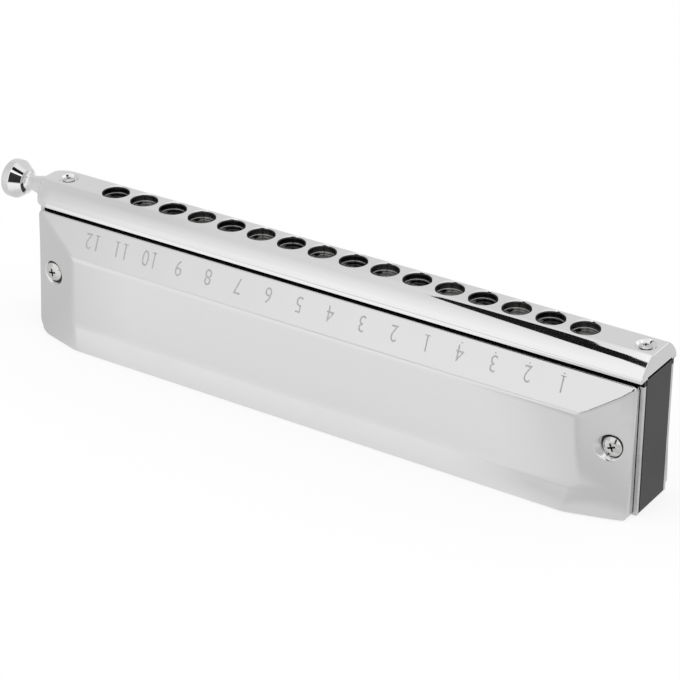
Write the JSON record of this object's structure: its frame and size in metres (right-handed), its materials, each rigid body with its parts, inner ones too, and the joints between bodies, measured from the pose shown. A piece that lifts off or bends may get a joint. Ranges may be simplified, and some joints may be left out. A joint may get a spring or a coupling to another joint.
{
  "type": "chromatic harmonica",
  "caption": "Chromatic harmonica: a mouthpiece bar with round holes on a dark comb between two pressed metal covers, and a sprung end button that shifts the slide under the holes.",
  "frame": {"origin": "middle of the comb's back face, on which the instrument stands", "axes": "+X along the mouthpiece, away from the button; +Y from the numbered cover to the other cover; +Z from the open back to the mouthpiece"},
  "size_m": [0.1975, 0.0306, 0.0428],
  "materials": {
    "chrome": "mirror-bright plating",
    "steel": "plain stainless sheet and turned parts",
    "plate": "pale plated reed plate",
    "reed": "filed reed strip",
    "comb": "moulded dark plastic",
    "rubber": "soft sleeve"
  },
  "bodies": {
    "instrument": {"comb": "comb", "reed_plate_front": "plate", "reed_plate_rear": "plate", "reed_front_01": "reed", "reed_front_02": "reed", "reed_front_03": "reed", "reed_front_04": "reed", "reed_front_05": "reed", "reed_front_06": "reed", "reed_front_07": "reed", "reed_front_08": "reed", "reed_front_09": "reed", "reed_front_10": "reed", "reed_front_11": "reed", "reed_front_12": "reed", "reed_front_13": "reed", "reed_front_14": "reed", "reed_front_15": "reed", "reed_front_16": "reed", "reed_rear_01": "reed", "reed_rear_02": "reed", "reed_rear_03": "reed", "reed_rear_04": "reed", "reed_rear_05": "reed", "reed_rear_06": "reed", "reed_rear_07": "reed", "reed_rear_08": "reed", "reed_rear_09": "reed", "reed_rear_10": "reed", "reed_rear_11": "reed", "reed_rear_12": "reed", "reed_rear_13": "reed", "reed_rear_14": "reed", "reed_rear_15": "reed", "reed_rear_16": "reed", "plate_screw_front_1": "steel", "plate_screw_front_2": "steel", "plate_screw_front_3": "steel", "plate_screw_rear_1": "steel", "plate_screw_rear_2": "steel", "plate_screw_rear_3": "steel", "mouthpiece": "chrome", "mouthpiece_screw_left": "steel", "mouthpiece_screw_right": "steel", "backing_plate": "steel", "slide_guide": "steel", "slide_bumper_left": "rubber", "slide_bumper_right": "rubber", "spring_post": "steel", "slide_spring": "steel", "cover_front": "chrome", "cover_rear": "chrome", "cover_bolt_left": "steel", "cover_bolt_right": "steel", "cover_nut_left": "steel", "cover_nut_right": "steel"},
    "slide_and_button": {"slide": "steel", "button": "chrome", "slide_rivet_front": "steel", "slide_rivet_rear": "steel"}
  },
  "joints": [
    {"name": "slide_travel", "type": "slide", "parent": "instrument", "child": "slide_and_button", "axis": [1, 0, 0], "range_m": [0, 0.0047], "stiffness_N_per_m": 300, "springref_m": -0.005, "deforming": ["slide_spring"]}
  ]
}
